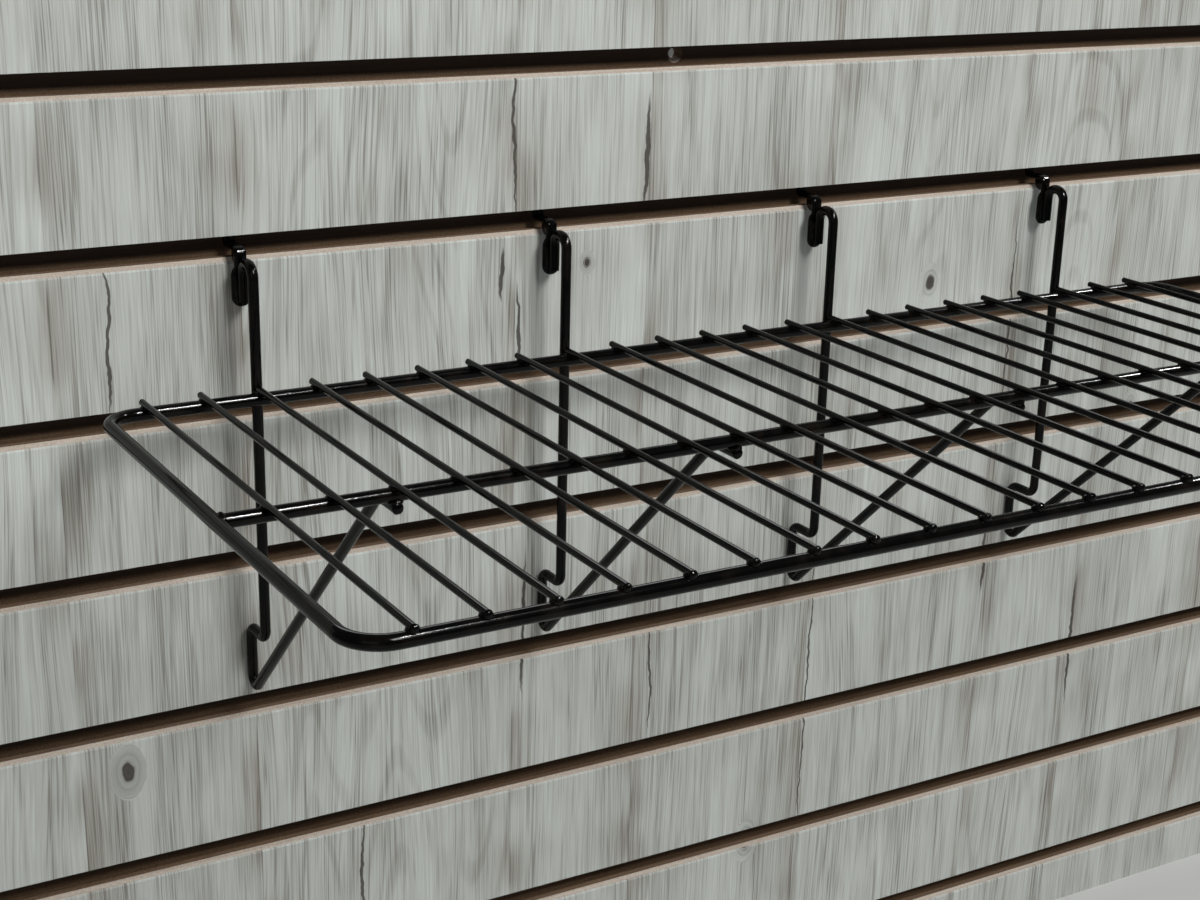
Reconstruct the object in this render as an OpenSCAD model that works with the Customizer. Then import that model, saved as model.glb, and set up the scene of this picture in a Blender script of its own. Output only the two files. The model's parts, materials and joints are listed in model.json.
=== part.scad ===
// Slatwall panel with a wire shelf hooked into its second slot.
// Frame: the origin is the centre of the panel's back face, +Z is up, +X runs
// along the slots, and -Y points out of the panel, towards the customer.

/* [Panel] */
// Width of the panel, along the slots
panel_w = 1200; // [800:10:1220]
// Thickness of the whole board
panel_t = 18; // [17.5:0.1:19]
// Number of T-slots
slot_count = 8; // [6:1:12]
// Distance from one slot to the next
slot_pitch = 75; // [75:0.5:100]
// Thickness of the decorative laminate and of the sheet on the back
laminate_t = 0.8; // [0.4:0.1:1]

/* [T-slot] */
// Height of the slot's mouth
mouth_h = 10; // [9.5:0.1:11]
// Depth of the narrow mouth, from the face to the pocket
mouth_depth = 6; // [5.6:0.1:6]
// Height of the wide pocket behind the mouth
pocket_h = 22; // [20:0.5:24]
// Depth of the wide pocket
pocket_depth = 6.5; // [6.5:0.1:6.8]
// Size of the eased edge on the lower lip of each slot
lip_chamfer = 2.5; // [1:0.1:3]

/* [Fixing holes] */
// Distance between neighbouring columns of fixing holes
hole_spacing = 500; // [300:10:550]
// Diameter of the screw's clearance hole
hole_d = 5; // [4:0.1:6]
// Diameter of the countersink for the screw's head
countersink_d = 9; // [8:0.1:9.4]

/* [Shelf] */
// Width of the wire shelf, from one side rod's centre to the other's
shelf_w = 619; // [612:1:630]
// Distance from the panel's face to the centre of the front rod
front_reach = 302; // [250:1:350]
// Diameter of the rim rod and the centre rod
rod_d = 6; // [5.5:0.1:6.5]
// Number of cross wires in the deck
cross_wire_count = 23; // [23:1:23]
// Distance from one cross wire to the next
cross_wire_pitch = 26.35; // [26:0.05:26.6]
// Diameter of the cross wires
cross_wire_d = 3; // [2.5:0.1:3.5]
// Diameter of the bracket wires
bracket_wire_d = 5; // [4.5:0.1:5.2]

/* [Hidden] */
$fn = 48;

// Panel: places that follow from the sizes above
panel_h = slot_count * slot_pitch;
face_y = -panel_t;
pocket_floor_y = face_y + mouth_depth + pocket_depth;
function slot_z(i) = panel_h / 2 - slot_pitch * (i - 0.5);
cut = 1;

// Shelf: it hangs in this slot, and heights are from the top edge of that slot's mouth
hooked_slot = 2;
shelf_z = slot_z(hooked_slot) + mouth_h / 2;
rod_r = rod_d / 2;
weld_sink = 0.5;
rod_level = -69;
cross_wire_level = rod_level + rod_r + cross_wire_d / 2 - weld_sink;
back_reach = 27;
centre_reach = 171.5;
rim_corner_r = 15;
cross_wire_back = 22.5;
cross_wire_front = front_reach + rod_r / 2;
wire_r = bracket_wire_d / 2;
run_relief = 0.01;
run_overlap = 0.2;
upright_reach = back_reach - rod_r - wire_r + weld_sink;

// Every third pair of wires carries a bracket: wires 3, 9, 15 and 21
wires_between_brackets = 6;
bracket_pitch = wires_between_brackets * cross_wire_pitch;
function bracket_x(i) = (i - 2.5) * bracket_pitch;
function cross_wire_x(i) = (i - (cross_wire_count + 1) / 2) * cross_wire_pitch;
function carries_bracket(i) = i % wires_between_brackets == 3;

// Hook: a strip that is tipped up behind the upper lip, leaves the slot over the
// lower lip and hangs down in front of it as a wide tongue with rounded ends.
// The centre of its bend is what the shelf tips up about.
clearance = 0.3;
strip_t = 2.6;
neck_w = 5.6;
tongue_w = 9.4;
tongue_reach = 5.4;
tongue_top_level = -12;
tongue_end_level = -31;
bend_r = 4.2;
bend_reach = tongue_reach + strip_t - bend_r;
bend_level = -7.8;
tip_level = 3;
saddle_w = 3;
saddle_gap = 0.05;

// Bracket: the outline of its wire as [reach, level] corners, and the radius at each corner
foot_reach = clearance + wire_r;
arch_start_reach = tongue_reach + strip_t + wire_r - weld_sink;
arch_r = (upright_reach - arch_start_reach) / 2 - 0.5;
arch_top_level = -10;
arch_start_level = -28;
jog_level = -188;
foot_level = -222.7;
strut_top_level = rod_level - rod_r - wire_r + weld_sink;
strut_top_reach = 156;
bracket_corners = [
    [arch_start_reach, arch_start_level, 0],
    [arch_start_reach, arch_top_level, arch_r],
    [upright_reach, arch_top_level, arch_r],
    [upright_reach, jog_level, 5],
    [foot_reach, jog_level, 5],
    [foot_reach, foot_level, 4],
    [strut_top_reach, strut_top_level, 8],
    [centre_reach + wire_r, strut_top_level, 0]
];

// ---- wire helpers, drawn in the plane z = 0 ----

// How far a corner's bend reaches along each of its two legs
function bend_length(p, q, s, r) = r * tan(turn_angle(p, q, s) / 2);
// The angle through which a wire turns at q on its way from p to s
function turn_angle(p, q, s) = let (a = unit(q - p), b = unit(s - q)) acos(a * b);
function unit(v) = v / norm(v);
function xy(c) = [c[0], c[1]];
function heading(v) = atan2(v[1], v[0]);
// +1 where the wire turns left at q, -1 where it turns right
function turn_side(p, q, s) = sign((q - p)[0] * (s - q)[1] - (q - p)[1] * (s - q)[0]);

// A straight run of round wire from p to q. It is a hair thinner than the bends and
// reaches a little way into them, so that a bent wire is one clean solid.
module wire_run(p, q, r)
    translate([p[0], p[1], 0])
        rotate([0, 90, heading(q - p)])
            translate([0, 0, -run_overlap])
                cylinder(h = norm(q - p) + 2 * run_overlap, r = r - run_relief);

// The bend of radius bend at corner q, on the way from p to s
module wire_bend(p, q, s, bend, r) {
    side = turn_side(p, q, s);
    start = q - unit(q - p) * bend_length(p, q, s, bend);
    centre = start + side * bend * [-unit(q - p)[1], unit(q - p)[0]];
    sweep = turn_angle(p, q, s);
    first = heading(start - centre) - (side < 0 ? sweep : 0);
    translate([centre[0], centre[1], 0])
        rotate([0, 0, first])
            rotate_extrude(angle = sweep)
                translate([bend, 0])
                    circle(r = r);
}

// A wire through a list of [x, y, bend radius] corners; the ends have no bend
module bent_wire(corners, r) {
    last = len(corners) - 1;
    points = [for (c = corners) xy(c)];
    trims = [for (k = [0 : last]) (k == 0 || k == last)
        ? 0
        : bend_length(points[k - 1], points[k], points[k + 1], corners[k][2])];
    for (k = [0 : last - 1]) {
        way = unit(points[k + 1] - points[k]);
        from = points[k] + way * trims[k];
        to = points[k + 1] - way * trims[k + 1];
        wire_run(from, to, r);
    }
    for (k = [1 : last - 1])
        wire_bend(points[k - 1], points[k], points[k + 1], corners[k][2], r);
}

// Puts a drawing of [reach, level] at x, standing out of the panel's face
module stand_out(x)
    translate([x, face_y, shelf_z])
        rotate([90, 0, -90])
            children();

// ---- panel ----

// A [y, z] outline, extruded along the whole width of the panel
module along_panel()
    rotate([90, 0, 90])
        translate([0, 0, -panel_w / 2])
            linear_extrude(panel_w)
                children();

// Section of one T-slot, with the eased edge on its lower lip
module slot_section(i) {
    translate([face_y - cut, slot_z(i) - mouth_h / 2])
        square([mouth_depth + cut + 0.01, mouth_h]);
    translate([face_y + mouth_depth, slot_z(i) - pocket_h / 2])
        square([pocket_depth, pocket_h]);
    translate([face_y, slot_z(i) - mouth_h / 2])
        polygon([
            [-cut, -lip_chamfer - cut],
            [lip_chamfer, 0],
            [lip_chamfer, cut],
            [-cut, cut]
        ]);
}

// The board as pressed, before its slots and holes are cut: y from near to far
module slotted_board(near, far)
    difference() {
        translate([near, -panel_h / 2])
            square([far - near, panel_h]);
        for (i = [1 : slot_count]) slot_section(i);
    }

// The six screws go through the back of the first and the last slot
module fixing_holes()
    for (column = [-1 : 1], i = [1, slot_count])
        translate([column * hole_spacing, 0, slot_z(i)])
            rotate([90, 0, 0]) {
                translate([0, 0, -cut])
                    cylinder(h = panel_t, d = hole_d);
                translate([0, 0, -pocket_floor_y - (countersink_d - hole_d) / 2])
                    cylinder(h = (countersink_d - hole_d) / 2, d1 = hole_d, d2 = countersink_d);
            }

module core_board()
    color("#6b4a33")
        difference() {
            along_panel()
                slotted_board(face_y + laminate_t, -laminate_t);
            fixing_holes();
        }

module back_sheet()
    color("#c9c6bd")
        difference() {
            translate([-panel_w / 2, -laminate_t, -panel_h / 2])
                cube([panel_w, laminate_t, panel_h]);
            fixing_holes();
        }

// The laminate is one sheet until the slots are cut. Strip i lies above slot i.
module face_strip(i) {
    top = i == 1 ? panel_h / 2 : slot_z(i - 1);
    bottom = i > slot_count ? -panel_h / 2 : slot_z(i);
    color("#bfc2bb")
        along_panel()
            intersection() {
                slotted_board(face_y, face_y + laminate_t);
                translate([face_y - cut, bottom])
                    square([laminate_t + 2 * cut, top - bottom]);
            }
}

// ---- shelf ----

// The rim is one rod bent round four corners
module rim_wire() {
    half_w = shelf_w / 2;
    corners = [
        [0, back_reach, 0],
        [half_w, back_reach, rim_corner_r],
        [half_w, front_reach, rim_corner_r],
        [-half_w, front_reach, rim_corner_r],
        [-half_w, back_reach, rim_corner_r],
        [0, back_reach, 0]
    ];
    color("#1c1c1e")
        translate([0, face_y, shelf_z + rod_level])
            mirror([0, 1, 0])
                bent_wire(corners, rod_r);
}

module centre_rod() {
    length = shelf_w - rod_d + 2 * weld_sink;
    color("#1c1c1e")
        translate([-length / 2, face_y - centre_reach, shelf_z + rod_level])
            rotate([0, 90, 0])
                cylinder(h = length, r = rod_r);
}

// A wire over a bracket is cut short of the bracket's upright
module cross_wire(i) {
    start = carries_bracket(i) ? upright_reach + wire_r + 0.1 : cross_wire_back;
    color("#1c1c1e")
        translate([cross_wire_x(i), face_y - start, shelf_z + cross_wire_level])
            rotate([90, 0, 0])
                cylinder(h = cross_wire_front - start, d = cross_wire_d);
}

module bracket_wire(i)
    color("#1c1c1e")
        stand_out(bracket_x(i))
            bent_wire(bracket_corners, wire_r);

// A round bar of the given width, lying across the hook's bend
module across_bend(r, w)
    translate([bend_reach, bend_level, -w / 2])
        cylinder(h = w, r = r);

// A slab of the hook's strip, w wide, between two [reach, level] corners
module strip(low, high, w)
    translate([low[0], low[1], -w / 2])
        cube([high[0] - low[0], high[1] - low[1], w]);

// The flattened end of the hook: a strip with round ends
module tongue() {
    round_levels = [tongue_end_level + tongue_w / 2, tongue_top_level - tongue_w / 2];
    strip([tongue_reach, round_levels[0]], [tongue_reach + strip_t, round_levels[1]], tongue_w);
    for (level = round_levels)
        translate([tongue_reach, level, 0])
            rotate([0, 90, 0])
                cylinder(h = strip_t, d = tongue_w);
}

module hook(i) {
    leg_top = bend_level + bend_r;
    tip_front = -mouth_depth - clearance;
    tip_back = tip_front - strip_t;
    color("#1c1c1e")
        stand_out(bracket_x(i))
            difference() {
                union() {
                    across_bend(bend_r, neck_w);
                    strip([tip_back, leg_top - strip_t], [bend_reach, leg_top], neck_w);
                    strip([tip_back, leg_top - strip_t], [tip_front, tip_level], neck_w);
                    strip([tongue_reach, tongue_top_level - tongue_w / 2],
                        [tongue_reach + strip_t, bend_level], neck_w);
                    tongue();
                }
                across_bend(bend_r + saddle_gap, saddle_w + 4 * saddle_gap);
            }
}

// The round middle of the bend. It slides along the slot with the shelf, and the
// shelf tips up about it.
module hook_saddle(i)
    color("#1c1c1e")
        stand_out(bracket_x(i))
            across_bend(bend_r, saddle_w);

core_board();
back_sheet();
for (i = [1 : slot_count + 1])
    face_strip(i);
rim_wire();
centre_rod();
for (i = [1 : cross_wire_count])
    cross_wire(i);
for (i = [1 : 4])
    bracket_wire(i);
for (i = [1 : 4])
    hook(i);
for (i = [1 : 4])
    hook_saddle(i);
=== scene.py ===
"""Looks for the slatwall panel and the wire shelf that hangs in its second slot.

Lengths are in millimetres, except where a comment says metres. The row frame has +X along the
slots, +Z up and -Y out of the panel, towards the customer.
"""
import json
import math

import bmesh
import bpy
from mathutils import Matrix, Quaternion, Vector, noise


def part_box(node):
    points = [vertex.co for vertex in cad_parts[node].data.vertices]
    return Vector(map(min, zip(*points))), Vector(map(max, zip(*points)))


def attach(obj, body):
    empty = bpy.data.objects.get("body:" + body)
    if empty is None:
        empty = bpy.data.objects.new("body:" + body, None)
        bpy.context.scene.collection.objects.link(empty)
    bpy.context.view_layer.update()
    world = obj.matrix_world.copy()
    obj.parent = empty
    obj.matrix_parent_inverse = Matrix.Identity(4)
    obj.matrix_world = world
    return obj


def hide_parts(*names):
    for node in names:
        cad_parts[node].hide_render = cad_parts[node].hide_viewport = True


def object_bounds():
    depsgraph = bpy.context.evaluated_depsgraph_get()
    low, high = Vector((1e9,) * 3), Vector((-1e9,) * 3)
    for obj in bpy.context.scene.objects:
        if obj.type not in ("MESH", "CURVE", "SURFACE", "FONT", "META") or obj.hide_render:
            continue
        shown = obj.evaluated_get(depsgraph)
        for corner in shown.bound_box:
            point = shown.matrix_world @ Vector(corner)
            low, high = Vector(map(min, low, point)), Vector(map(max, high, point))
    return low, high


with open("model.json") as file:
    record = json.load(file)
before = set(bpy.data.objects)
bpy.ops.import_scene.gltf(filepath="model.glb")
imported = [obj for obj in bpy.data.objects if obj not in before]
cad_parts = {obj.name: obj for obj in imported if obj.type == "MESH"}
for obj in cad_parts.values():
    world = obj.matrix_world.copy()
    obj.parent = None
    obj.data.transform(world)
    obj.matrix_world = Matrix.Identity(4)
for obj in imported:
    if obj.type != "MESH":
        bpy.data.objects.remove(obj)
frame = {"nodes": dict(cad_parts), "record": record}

# The corners of the whole CAD model, in metres, and one millimetre in metres
CAD_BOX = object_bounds()
MM = 0.001

SLOTS = 8
SLOT_PITCH = (CAD_BOX[1].z - CAD_BOX[0].z) / MM / SLOTS

# Each hook is a bent strip: a narrow neck over the slot's lower lip and a wide tongue before it
HOOKS = 4
HOOK_HALF_T = 1.4
NECK_HALF_W = 2.9
TONGUE_HALF_W = 4.7
TONGUE_LENGTH = 19
TIP_BEND_R = 1.8


# ---------------------------------------------------------------- camera, light and floor

# The point that every light faces, in metres, and the power of each glint's lamp, in watts
LIGHT_TARGET = (0, -0.05, 0.08)
GLINT_POWER = 24
FLOOR_HALF = 25.0


def point_camera(location, azimuth, elevation, roll, lens, shift_y):
    """location is in metres. azimuth turns right from +Y and roll turns the camera anticlockwise,
    in degrees."""
    turn, rise = math.radians(azimuth), math.radians(elevation)
    ahead = Vector((math.sin(turn) * math.cos(rise), math.cos(turn) * math.cos(rise), math.sin(rise)))
    data = bpy.data.cameras.new("camera")
    data.sensor_width = 36
    data.lens = lens
    data.shift_y = shift_y
    data.clip_start, data.clip_end = 0.05, 50
    camera = bpy.data.objects.new("camera", data)
    bpy.context.scene.collection.objects.link(camera)
    camera.location = location
    camera.rotation_mode = "QUATERNION"
    level = ahead.to_track_quat("-Z", "Y")
    camera.rotation_quaternion = level @ Quaternion((0, 0, 1), math.radians(roll))
    bpy.context.scene.camera = camera


def area_light(name, location, size, power, colour=(1.0, 1.0, 1.0)):
    """A rectangle of light that faces the shelf. location and size are in metres, power in watts."""
    data = bpy.data.lights.new(name, "AREA")
    data.shape = "RECTANGLE"
    data.size, data.size_y = size
    data.energy = power
    data.color = colour
    light = bpy.data.objects.new(name, data)
    bpy.context.scene.collection.objects.link(light)
    light.location = location
    towards = Vector(LIGHT_TARGET) - light.location
    light.rotation_euler = towards.to_track_quat("-Z", "Y").to_euler()
    return light


def light_studio():
    area_light("key", (0.21, -1.78, 1.75), (0.7, 0.74), 45, (1.0, 1.0, 0.99))
    area_light("fill", (-1.9, -1.9, 0.9), (1.4, 1.4), 2.5, (0.93, 0.97, 1.0))
    area_light("rear", (0.9, 2.1, 1.5), (1.8, 1.4), 34)
    # Small lamps that are seen only as reflections: the glints on the wires
    glints = (
        area_light("lamp_near", (0.42, -1.31, 1.87), (0.22, 0.02), GLINT_POWER),
        area_light("lamp_near_twin", (0.42, -1.42, 1.79), (0.22, 0.02), GLINT_POWER),
        area_light("lamp_far", (1.75, -0.40, 1.72), (0.40, 0.02), GLINT_POWER),
    )
    for lamp in glints:
        lamp.visible_diffuse = False
    world = bpy.data.worlds.new("studio")
    world.use_nodes = True
    sky = world.node_tree.nodes["Background"]
    sky.inputs["Color"].default_value = (0.86, 0.88, 0.88, 1)
    sky.inputs["Strength"].default_value = 0.16
    bpy.context.scene.world = world
    bpy.context.scene.view_settings.view_transform = "Standard"


def lay_floor():
    """A pale square floor at the foot of the panel. FLOOR_HALF is in metres."""
    signs = ((-1, -1), (1, -1), (1, 1), (-1, 1))
    corners = [(side * FLOOR_HALF, end * FLOOR_HALF, CAD_BOX[0].z) for side, end in signs]
    mesh = bpy.data.meshes.new("floor")
    mesh.from_pydata(corners, [], [(0, 1, 2, 3)])
    floor = bpy.data.objects.new("floor", mesh)
    bpy.context.scene.collection.objects.link(floor)
    g = Graph("pale_floor")
    g.shader.inputs["Base Color"].default_value = (0.60, 0.60, 0.59, 1)
    g.shader.inputs["Roughness"].default_value = 0.9
    mesh.materials.append(g.material)


# ---------------------------------------------------------------- node helpers

class Graph:
    """A material whose nodes are made by short calls. A number or a socket may be given anywhere."""

    def __init__(self, name):
        self.material = bpy.data.materials.new(name)
        self.material.use_nodes = True
        self.nodes = self.material.node_tree.nodes
        self.links = self.material.node_tree.links
        self.shader = self.nodes["Principled BSDF"]
        self.axes = None

    def put(self, socket, value):
        if isinstance(value, bpy.types.NodeSocket):
            self.links.new(value, socket)
        else:
            socket.default_value = value

    def math(self, operation, *values, clamp=False):
        node = self.nodes.new("ShaderNodeMath")
        node.operation = operation
        node.use_clamp = clamp
        for socket, value in zip(node.inputs, values):
            self.put(socket, value)
        return node.outputs[0]

    def add(self, a, b):
        return self.math("ADD", a, b)

    def sub(self, a, b):
        return self.math("SUBTRACT", a, b)

    def mul(self, a, b):
        return self.math("MULTIPLY", a, b)

    def swing(self, value, width):
        """A value that runs from 0 to 1, made to swing over this width with 0 in its middle."""
        return self.mul(self.sub(value, 0.5), width)

    def step(self, value, start, end):
        """0 before start and 1 after end, smooth between. start may be above end."""
        node = self.nodes.new("ShaderNodeMapRange")
        node.interpolation_type = "SMOOTHSTEP"
        for socket, number in zip(node.inputs, (value, start, end, 0.0, 1.0)):
            self.put(socket, number)
        return node.outputs[0]

    def vector(self, x, y, z):
        node = self.nodes.new("ShaderNodeCombineXYZ")
        for socket, value in zip(node.inputs, (x, y, z)):
            self.put(socket, value)
        return node.outputs[0]

    def vector_math(self, operation, *values):
        node = self.nodes.new("ShaderNodeVectorMath")
        node.operation = operation
        for socket, value in zip(node.inputs, values):
            self.put(socket, value)
        return node.outputs["Value" if operation == "LENGTH" else "Vector"]

    def place(self):
        """The position in the row frame, as x, y and z sockets in millimetres."""
        if self.axes is None:
            where = self.nodes.new("ShaderNodeTexCoord")
            split = self.nodes.new("ShaderNodeSeparateXYZ")
            self.links.new(where.outputs["Object"], split.inputs[0])
            self.axes = [self.mul(axis, 1 / MM) for axis in split.outputs]
        return self.axes

    def facing(self):
        """The surface's normal, as x, y and z sockets."""
        where = self.nodes.new("ShaderNodeTexCoord")
        split = self.nodes.new("ShaderNodeSeparateXYZ")
        self.links.new(where.outputs["Normal"], split.inputs[0])
        return split.outputs

    def noise(self, x, y, z, detail=2.0, roughness=0.5):
        node = self.nodes.new("ShaderNodeTexNoise")
        node.inputs["Scale"].default_value = 1.0
        node.inputs["Detail"].default_value = detail
        node.inputs["Roughness"].default_value = roughness
        self.links.new(self.vector(x, y, z), node.inputs["Vector"])
        return node.outputs["Fac"]

    def streaks(self, x, z, width, length, seed, detail=2.0, roughness=0.5):
        """Noise over the face, whose marks are about width across and length tall. Another seed
        gives other marks."""
        return self.noise(self.mul(x, 1 / width), seed, self.mul(z, 1 / length), detail, roughness)

    def blots(self, width, depth, height, detail=2.0, roughness=0.5):
        """Noise through the whole piece, whose marks have this size along x, y and z."""
        scaled = [self.mul(axis, 1 / size) for axis, size in zip(self.place(), (width, depth, height))]
        return self.noise(*scaled, detail, roughness)

    def random(self, value):
        node = self.nodes.new("ShaderNodeTexWhiteNoise")
        node.noise_dimensions = "1D"
        self.put(node.inputs["W"], value)
        return node.outputs["Value"]

    def mix(self, share, a, b):
        """Colour a where share is 0 and colour b where it is 1."""
        node = self.nodes.new("ShaderNodeMix")
        node.data_type = "RGBA"
        self.put(node.inputs["Factor"], share)
        self.put(node.inputs["A"], a)
        self.put(node.inputs["B"], b)
        return node.outputs["Result"]

    def ramp(self, value, *stops):
        node = self.nodes.new("ShaderNodeValToRGB")
        elements = node.color_ramp.elements
        while len(elements) < len(stops):
            elements.new(0.5)
        for element, (at, colour) in zip(elements, stops):
            element.position = at
            element.color = colour
        self.put(node.inputs["Fac"], value)
        return node.outputs["Color"]

    def bump(self, height, depth, strength=1.0):
        """height runs from 0 to 1 and stands for depth millimetres."""
        node = self.nodes.new("ShaderNodeBump")
        node.inputs["Strength"].default_value = strength
        node.inputs["Distance"].default_value = depth * MM
        self.put(node.inputs["Height"], height)
        self.links.new(node.outputs[0], self.shader.inputs["Normal"])


def srgb(red, green, blue):
    """An 8-bit screen colour as the linear colour that Blender wants."""
    def linear(v):
        v /= 255
        return v / 12.92 if v <= 0.04045 else ((v + 0.055) / 1.055) ** 2.4
    return (linear(red), linear(green), linear(blue), 1)


# ---------------------------------------------------------------- laminate

# Where one printed plank meets the next, along X
PLANK_SEAMS = (-520, -415, -322, -235, -95, -20, 95, 225, 302, 410, 505)

# Dark cracks: x, height of the middle above the panel's centre, half width, half length
CRACKS = (
    (-297, 151, 0.9, 36), (-96, 228, 0.8, 42), (-21, 216, 1.5, 28),
    (-102, 162, 1.2, 13), (-93, 130, 1.0, 27), (-88, -25, 1.0, 40),
    (-10, -70, 0.7, 34), (226, 110, 0.6, 62), (223, -40, 1.1, 22),
    (301, -110, 1.2, 44), (97, -100, 0.6, 100), (-430, 60, 1.0, 70),
    (420, 170, 1.0, 60), (-180, -160, 0.9, 50), (512, -60, 1.0, 70),
)

# Knots: x, height above the panel's centre, half width, half height
KNOTS = (
    (165, 133, 3.0, 4.4), (-55, 164, 1.8, 2.6), (-300, -60, 3.5, 6.0), (330, 40, 2.6, 4.4),
    (-470, 190, 3.2, 5.4), (60, -190, 3.4, 5.8), (500, -215, 2.6, 4.2),
)

# How far each feature of the print moves its tone, which runs from 0, dark, to 1, pale
MEAN_TONE = 0.65
BAND_SWING = 0.30
FIBRE_SWING = 0.55
CLOUD_SWING = 0.46
PLANK_SWING = 0.12
ARC_DEPTH = 0.12
LINE_DEPTH = 0.34
EDGE_DEPTH = 0.30
KNOT_SHADE_DEPTH = 0.34

# How far the grain strays sideways: in every plank, and how much more in the waviest one
LEAST_WAVINESS = 6.0
MORE_WAVINESS = 38.0

# Farther from a seam or a crack than anything on the panel
FAR = 1000.0


def plank_of(g, x):
    """The number of the plank at x, and the distance to the nearest seam."""
    number = 0.0
    nearest = FAR
    for seam in PLANK_SEAMS:
        number = g.add(number, g.math("GREATER_THAN", x, float(seam)))
        nearest = g.math("MINIMUM", nearest, g.math("ABSOLUTE", g.sub(x, float(seam))))
    return number, nearest


def nearest_oval(g, x, z, ovals):
    """0 in the middle of the nearest oval, 1 on its edge and more outside it."""
    where = g.vector(x, z, 0.0)
    nearest = FAR
    for centre, height, reach_x, reach_z in ovals:
        scale = (1 / reach_x, 1 / reach_z, 0)
        offset = (-centre / reach_x, -height / reach_z, 0)
        scaled = g.vector_math("MULTIPLY_ADD", where, scale, offset)
        nearest = g.math("MINIMUM", nearest, g.vector_math("LENGTH", scaled))
    return nearest


def wander(g, x, z):
    """How far a crack strays sideways: in long bends and in short jags."""
    bend = g.swing(g.streaks(x, z, 90, 34, 3.7, 1.0), 7.0)
    jag = g.swing(g.streaks(x, z, 6, 6, 5.1, 1.0), 2.4)
    return bend, jag


def across_grain(g, x, z, knot, chance, seed):
    """The place across the grain, first without the knots and then with the grain round them."""
    slow = g.sub(g.streaks(x, z, 60, 280, seed, 1.0), 0.5)
    waviness = g.add(LEAST_WAVINESS, g.mul(g.mul(chance, chance), MORE_WAVINESS))
    straight = g.add(x, g.mul(slow, waviness))
    near_knot = g.step(knot, 2.6, 0.8)
    return straight, g.add(straight, g.mul(near_knot, g.sub(g.mul(knot, 3.0), straight)))


def dark_marks(g, from_seam, blotch, crack, knot, fibres):
    """Seams, cracks and knots: 0 on clean print and 1 where they are darkest. crack and knot run
    from 0 in the middle of the nearest one to 1 on its edge."""
    broken = g.step(blotch, 0.50, 0.60)
    seam = g.mul(g.step(from_seam, 0.6, 0.15), g.add(0.10, g.mul(broken, 0.55)))
    core = g.step(g.add(knot, g.swing(fibres, 1.8)), 1.1, 0.6)
    rim = g.mul(g.step(g.math("ABSOLUTE", g.sub(knot, 1.6)), 0.35, 0.0), 0.20)
    split = g.math("MAXIMUM", seam, g.step(crack, 1.15, 0.75))
    return g.math("MAXIMUM", split, g.math("MAXIMUM", core, rim))


def oak_laminate():
    """Matt grey oak print: planks, straight fine grain, dark seams, cracks and small knots."""
    g = Graph("oak_laminate")
    x, _, z = g.place()
    number, from_seam = plank_of(g, x)
    chance = g.random(g.add(number, 0.37))
    seed = g.mul(g.random(g.add(number, 7.1)), 90.0)
    bend, jag = wander(g, x, z)
    knot = nearest_oval(g, g.add(x, jag), z, KNOTS)
    crack = nearest_oval(g, g.add(x, g.add(bend, jag)), z, CRACKS)
    straight, grain_x = across_grain(g, x, z, knot, chance, seed)

    # The streaks of the print. Thin dark lines lie where weave passes through its middle value
    weave = g.streaks(grain_x, z, 1.3, 130, seed, 1.0)
    lines = g.step(g.math("ABSOLUTE", g.sub(weave, 0.5)), 0.08, 0.0)
    fibres = g.streaks(grain_x, z, 0.8, 34, seed, 1.0, 0.7)
    bands = g.streaks(grain_x, z, 11, 260, seed)
    rings = g.streaks(straight, z, 34, 330, seed, 0.0)
    arcs = g.step(g.math("SINE", g.mul(rings, 62.0)), 0.45, 1.0)
    cloud = g.streaks(x, z, 26, 60, seed)
    blotch = g.noise(number, 9.1, g.mul(z, 1 / 60), 1.0)
    edge = g.mul(g.math("EXPONENT", g.mul(from_seam, -1 / 8)), g.step(blotch, 0.36, 0.66))
    knot_shade = g.math("EXPONENT", g.mul(knot, -0.8))

    tone = g.add(MEAN_TONE, g.swing(bands, BAND_SWING))
    tone = g.add(tone, g.swing(fibres, FIBRE_SWING))
    tone = g.sub(tone, g.mul(arcs, g.mul(g.step(chance, 0.40, 0.70), ARC_DEPTH)))
    tone = g.add(tone, g.swing(cloud, CLOUD_SWING))
    tone = g.add(tone, g.swing(chance, PLANK_SWING))
    tone = g.sub(tone, g.mul(g.mul(lines, LINE_DEPTH), g.step(bands, 0.80, 0.30)))
    shade = g.add(g.mul(edge, EDGE_DEPTH), g.mul(knot_shade, KNOT_SHADE_DEPTH))
    tone = g.math("SUBTRACT", tone, shade, clamp=True)

    colour = g.ramp(
        tone,
        (0.05, srgb(118, 115, 108)),
        (0.32, srgb(156, 156, 150)),
        (0.58, srgb(187, 190, 185)),
        (0.90, srgb(208, 213, 209)),
    )
    brown = g.math("MAXIMUM", g.mul(edge, 0.5), g.mul(g.step(cloud, 0.42, 0.22), 0.25))
    colour = g.mix(brown, colour, g.mix(0.5, colour, srgb(156, 142, 129)))
    dark = dark_marks(g, from_seam, blotch, crack, knot, fibres)
    colour = g.mix(g.mul(dark, 0.88), colour, srgb(52, 45, 39))

    g.put(g.shader.inputs["Base Color"], colour)
    g.put(g.shader.inputs["Roughness"], g.add(0.50, g.mul(bands, 0.16)))
    g.shader.inputs["Specular IOR Level"].default_value = 0.3
    g.bump(g.streaks(x, z, 1.3, 42, 4.4, 1.0), 0.06, 0.5)
    return g.material


# ---------------------------------------------------------------- other materials

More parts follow.
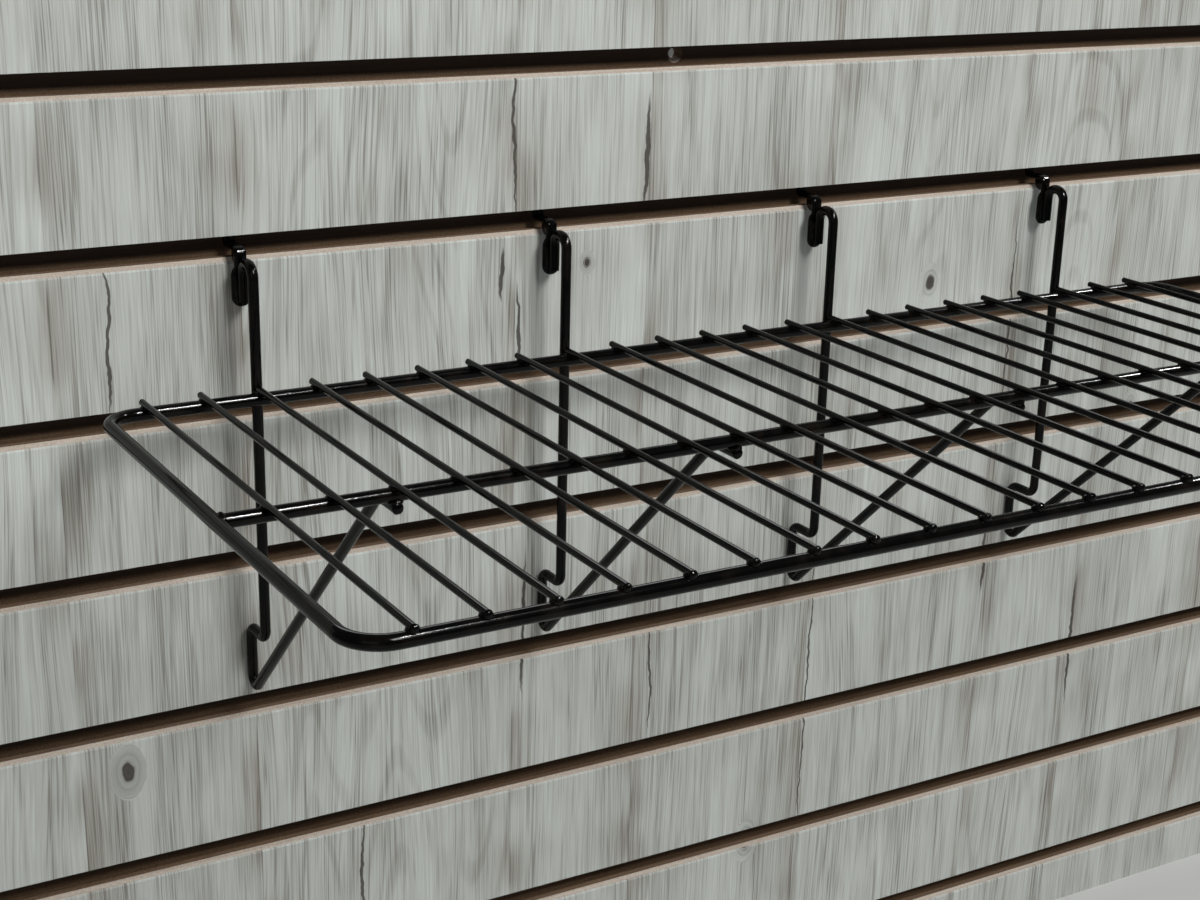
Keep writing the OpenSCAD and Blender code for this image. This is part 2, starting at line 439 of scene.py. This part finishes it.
def fibreboard():
    """Brown fibreboard with cutter marks along the slots, and painted shade that darkens the upper
    part each slot. The eased lip edges are a pale cream."""
    g = Graph("mdf")
    _, _, z = g.place()
    facing_x, facing_y, facing_z = g.facing()
    speck = g.blots(0.9, 0.9, 0.9, 1.0)
    marks = g.blots(90, 1.3, 1.3)
    tone = g.add(g.mul(speck, 0.5), g.mul(marks, 0.5))
    board = g.ramp(
        tone,
        (0.30, srgb(92, 70, 50)),
        (0.50, srgb(115, 90, 67)),
        (0.70, srgb(138, 112, 87)),
    )
    cream = g.ramp(
        tone,
        (0.30, srgb(164, 149, 134)),
        (0.50, srgb(184, 170, 156)),
        (0.70, srgb(204, 192, 178)),
    )
    # A slot's middle is half a pitch above each multiple of the pitch
    above_slot = g.sub(g.math("FLOORED_MODULO", z, SLOT_PITCH), SLOT_PITCH / 2)
    # Painted shade: the upper part of each slot is darkened where the lip keeps the light out. The
    # panel's end faces are left out.
    painted_slot_shade = g.mul(g.step(above_slot, -5.3, -2.0), g.sub(1.0, g.math("ABSOLUTE", facing_x)))
    board = g.mix(g.mul(painted_slot_shade, 0.85), board, srgb(40, 26, 16))
    eased = g.step(g.mul(g.mul(facing_y, -1.0), facing_z), 0.25, 0.40)
    g.put(g.shader.inputs["Base Color"], g.mix(eased, board, cream))
    g.put(g.shader.inputs["Roughness"], g.add(0.72, g.mul(speck, 0.2)))
    g.bump(speck, 0.10, 0.5)
    return g.material


def back_paper():
    """The plain balancing sheet on the back: off-white, faintly mottled."""
    g = Graph("back_paper")
    fibre = g.blots(5, 5, 1.5, 4.0, 0.6)
    cloud = g.blots(120, 120, 120, 3.0)
    tone = g.add(g.mul(fibre, 0.6), g.mul(cloud, 0.4))
    colour = g.ramp(
        tone,
        (0.30, srgb(188, 181, 168)),
        (0.50, srgb(205, 199, 187)),
        (0.70, srgb(219, 214, 204)),
    )
    g.put(g.shader.inputs["Base Color"], colour)
    g.put(g.shader.inputs["Roughness"], g.add(0.7, g.mul(fibre, 0.15)))
    g.bump(fibre, 0.05, 0.4)
    return g.material


def powder_coat(name, roughness, peel_depth):
    """Glossy black powder coat with a fine orange peel and a trace of brown dust."""
    g = Graph(name)
    peel = g.blots(2.2, 2.2, 2.2, 1.0)
    cloud = g.blots(9, 9, 9)
    dust = g.step(cloud, 0.45, 0.75)
    g.put(g.shader.inputs["Base Color"], g.mix(dust, srgb(3, 3, 3), srgb(17, 13, 9)))
    g.put(g.shader.inputs["Roughness"], g.add(roughness, g.mul(cloud, 0.10)))
    g.shader.inputs["Specular IOR Level"].default_value = 0.12
    g.bump(peel, peel_depth, 0.6)
    return g.material


def dress_cad_nodes():
    looks = {
        "oak_laminate": oak_laminate(),
        "mdf": fibreboard(),
        "back_paper": back_paper(),
        "black_wire": powder_coat("powder_coat", 0.07, 0.04),
    }
    for part in frame["record"]["subparts"]:
        node = frame["nodes"][part["node"]]
        node.data.materials.clear()
        node.data.materials.append(looks[part["material_slot"]])


# ---------------------------------------------------------------- helpers for new pieces

def box_of(node):
    """The lowest and the highest corner of a CAD node, in millimetres."""
    return [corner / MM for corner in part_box(node)]


def middle(node):
    low, high = box_of(node)
    return (low + high) / 2


def numbered(start):
    """The CAD nodes called start and a number, in order along X."""
    found = [n for n in frame["nodes"] if n.startswith(start) and n[len(start):].isdigit()]
    return sorted(found, key=lambda n: middle(n).x)


def new_piece(name, cloth, material):
    """A smooth piece of the shelf, made from a mesh in metres."""
    mesh = bpy.data.meshes.new(name)
    cloth.to_mesh(mesh)
    cloth.free()
    for face in mesh.polygons:
        face.use_smooth = True
    mesh.materials.append(material)
    piece = bpy.data.objects.new(name, mesh)
    bpy.context.scene.collection.objects.link(piece)
    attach(piece, "shelf")
    return piece


# ---------------------------------------------------------------- hooks

# The points round the strip, and how square its section is: 2 is an ellipse and more is squarer
RING_SIDES = 24
EDGE_POWER = 2.5

# The closing rows of points at each end of the strip, and the spacing of the rows elsewhere
END_STEPS = 6
NECK_SPACING = 0.8
TONGUE_SPACING = 0.5


def run(start, end, spacing):
    """Points (y, z) from start towards end, without the end itself."""
    start, end = Vector(start), Vector(end)
    count = max(1, round((end - start).length / spacing))
    return [start.lerp(end, i / count) for i in range(count)]


def arc(centre, radius, first, last, count):
    """Points (y, z) on a circle, from the first angle towards the last, in degrees."""
    angles = [math.radians(first + (last - first) * i / count) for i in range(count)]
    return [Vector(centre) + radius * Vector((math.cos(a), math.sin(a))) for a in angles]


def hook_spine(low, high, saddle):
    """The middle line of a hook's strip, from its tip behind the upper lip to its tongue's end."""
    half_t = HOOK_HALF_T
    back, front = high.y - half_t, low.y + half_t
    leg = saddle.z + (saddle.y - low.y) - half_t
    inner = back - TIP_BEND_R
    spine = run((back, high.z), (back, high.z - half_t), half_t / END_STEPS)
    spine += run((back, high.z - half_t), (back, leg + TIP_BEND_R), NECK_SPACING)
    spine += arc((inner, leg + TIP_BEND_R), TIP_BEND_R, 0, -90, 8)
    spine += run((inner, leg), (saddle.y, leg), NECK_SPACING)
    spine += arc((saddle.y, saddle.z), leg - saddle.z, 90, 180, 12)
    spine += run((front, saddle.z), (front, low.z + half_t), TONGUE_SPACING)
    spine += run((front, low.z + half_t), (front, low.z), half_t / END_STEPS)
    return spine + [Vector((front, low.z + 0.01))]


def tongue_half_width(above_end):
    """Half the tongue's width at a height above its end. The tongue is a bar with round ends."""
    nearest = min(max(above_end, TONGUE_HALF_W), TONGUE_LENGTH - TONGUE_HALF_W)
    return math.sqrt(max(0.0, TONGUE_HALF_W ** 2 - (above_end - nearest) ** 2))


def strip_half_width(y, above_end, front_y):
    """Half the hook's width at y and at a height above its lower end. Its front is at front_y."""
    if above_end < TONGUE_HALF_W:
        return max(0.3, tongue_half_width(above_end))
    if y < front_y + 1.01 * HOOK_HALF_T:
        return max(NECK_HALF_W, tongue_half_width(above_end))
    return NECK_HALF_W


def ring_round(x, point, across, half_w, half_t):
    """The points, in metres, round the strip where its spine passes point (y, z)."""
    spots = []
    for k in range(RING_SIDES):
        c, s = math.cos(math.tau * k / RING_SIDES), math.sin(math.tau * k / RING_SIDES)
        side = half_w * math.copysign(abs(c) ** (2 / EDGE_POWER), c)
        out = half_t * math.copysign(abs(s) ** (2 / EDGE_POWER), s)
        y, z = point + across * out
        spots.append(Vector((x + side, y, z)) * MM)
    return spots


def hook_cloth(low, high, saddle):
    """The hook's strip, with rolled edges and with ends that close to a rounded rim."""
    cloth = bmesh.new()
    spine = hook_spine(low, high, saddle)
    rings = []
    for i, point in enumerate(spine):
        ahead = (spine[min(i + 1, len(spine) - 1)] - spine[max(i - 1, 0)]).normalized()
        across = Vector((-ahead.y, ahead.x))
        from_end = min((point - spine[0]).length, (point - spine[-1]).length)
        closing = math.sqrt(max(0.02, 1 - max(0.0, 1 - from_end / HOOK_HALF_T) ** 2))
        y, z = point
        half_w = strip_half_width(y, z - low.z, low.y)
        spots = ring_round((low.x + high.x) / 2, point, across, half_w, HOOK_HALF_T * closing)
        rings.append([cloth.verts.new(spot) for spot in spots])
    for ring, following in zip(rings, rings[1:]):
        for k in range(RING_SIDES):
            after = (k + 1) % RING_SIDES
            cloth.faces.new((ring[k], ring[after], following[after], following[k]))
    cloth.faces.new(list(reversed(rings[0])))
    cloth.faces.new(rings[-1])
    bmesh.ops.recalc_face_normals(cloth, faces=cloth.faces)
    return cloth


def make_hooks(material):
    """Each CAD hook is a plain strip. This one has rolled edges and a pillowed tongue."""
    for number in range(1, HOOKS + 1):
        low, high = box_of(f"hook_{number}")
        cloth = hook_cloth(low, high, middle(f"hook_saddle_{number}"))
        hook = new_piece(f"formed_hook_{number}", cloth, material)
        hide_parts(f"hook_{number}")


# ---------------------------------------------------------------- welds

# Half sizes of the beads along x, y and z
CROSS_WIRE_ON_BACK = (2.5, 2.6, 1.3)
CROSS_WIRE_ON_CENTRE = (2.4, 2.5, 1.2)
CROSS_WIRE_ON_FRONT = (2.6, 2.7, 1.7)
WIRE_BACK_END = (1.5, 0.9, 1.5)
WIRE_FRONT_END = (1.9, 1.4, 1.9)
UPRIGHT_ON_BACK = (3.1, 1.6, 4.0)
STRUT_ON_CENTRE = (3.4, 3.6, 1.9)
STRUT_END = (2.5, 1.4, 2.5)
CENTRE_ROD_END = (2.2, 3.8, 3.7)
TONGUE_ON_UPRIGHT = (1.2, 1.3, 5.5)


def bead(cloth, centre, radii, seed):
    """One lump of weld metal: a ball squeezed to radii (x, y, z), with an uneven skin."""
    made = bmesh.ops.create_icosphere(cloth, subdivisions=3, radius=1.0)
    for vertex in made["verts"]:
        uneven = 1 + 0.10 * noise.noise(vertex.co * 1.6 + Vector((seed * 3.1, seed * 1.7, seed)))
        vertex.co = Vector(centre[i] + vertex.co[i] * radii[i] * uneven for i in range(3)) * MM


def weld_piece(name, beads, material):
    cloth = bmesh.new()
    for number, (centre, radii) in enumerate(beads):
        bead(cloth, centre, radii, number + 1)
    new_piece(name, cloth, material)


def make_welds(material):
    rim_low, rim_high = box_of("rim_wire")
    rod_r = (rim_high.z - rim_low.z) / 2
    rod_z = (rim_low.z + rim_high.z) / 2
    back_y, front_y = rim_high.y - rod_r, rim_low.y + rod_r
    centre_rod = middle("centre_rod")

    deck, ends = [], []
    for wire in numbered("cross_wire_"):
        low, high = box_of(wire)
        x, _, wire_z = (low + high) / 2
        deck.append(((x, back_y, rim_high.z - 0.2), CROSS_WIRE_ON_BACK))
        deck.append(((x, centre_rod.y, rim_high.z - 0.2), CROSS_WIRE_ON_CENTRE))
        deck.append(((x, front_y, rim_high.z), CROSS_WIRE_ON_FRONT))
        ends.append(((x, high.y, wire_z), WIRE_BACK_END))
        ends.append(((x, low.y, wire_z - 0.3), WIRE_FRONT_END))
    weld_piece("deck_welds", deck, material)
    weld_piece("wire_ends", ends, material)

    bracket = []
    for wire in numbered("bracket_wire_"):
        low, high = box_of(wire)
        x = (low.x + high.x) / 2
        bracket.append(((x, back_y + 2.6, rod_z), UPRIGHT_ON_BACK))
        bracket.append(((x, centre_rod.y, rim_low.z), STRUT_ON_CENTRE))
        bracket.append(((x, low.y, rim_low.z - 2.0), STRUT_END))
    for x in (rim_low.x + 1.8 * rod_r, rim_high.x - 1.8 * rod_r):
        bracket.append(((x, centre_rod.y, centre_rod.z), CENTRE_ROD_END))
    weld_piece("bracket_welds", bracket, material)

    tongues = []
    for hook in numbered("hook_"):
        low, high = box_of(hook)
        for side in (-1, 1):
            x = (low.x + high.x) / 2 + side * 2.4
            tongues.append(((x, low.y + 0.1, low.z + 8.5), TONGUE_ON_UPRIGHT))
    weld_piece("hook_welds", tongues, material)


# ---------------------------------------------------------------- the scene

point_camera(
    location=(-0.5309, -0.8469, 0.3736),
    azimuth=30.427,
    elevation=-19.284,
    roll=1.421,
    lens=58.673,
    shift_y=0.0417,
)
light_studio()
lay_floor()
dress_cad_nodes()
glossy_coat = powder_coat("glossy_coat", 0.04, 0.08)
make_hooks(glossy_coat)
make_welds(glossy_coat)
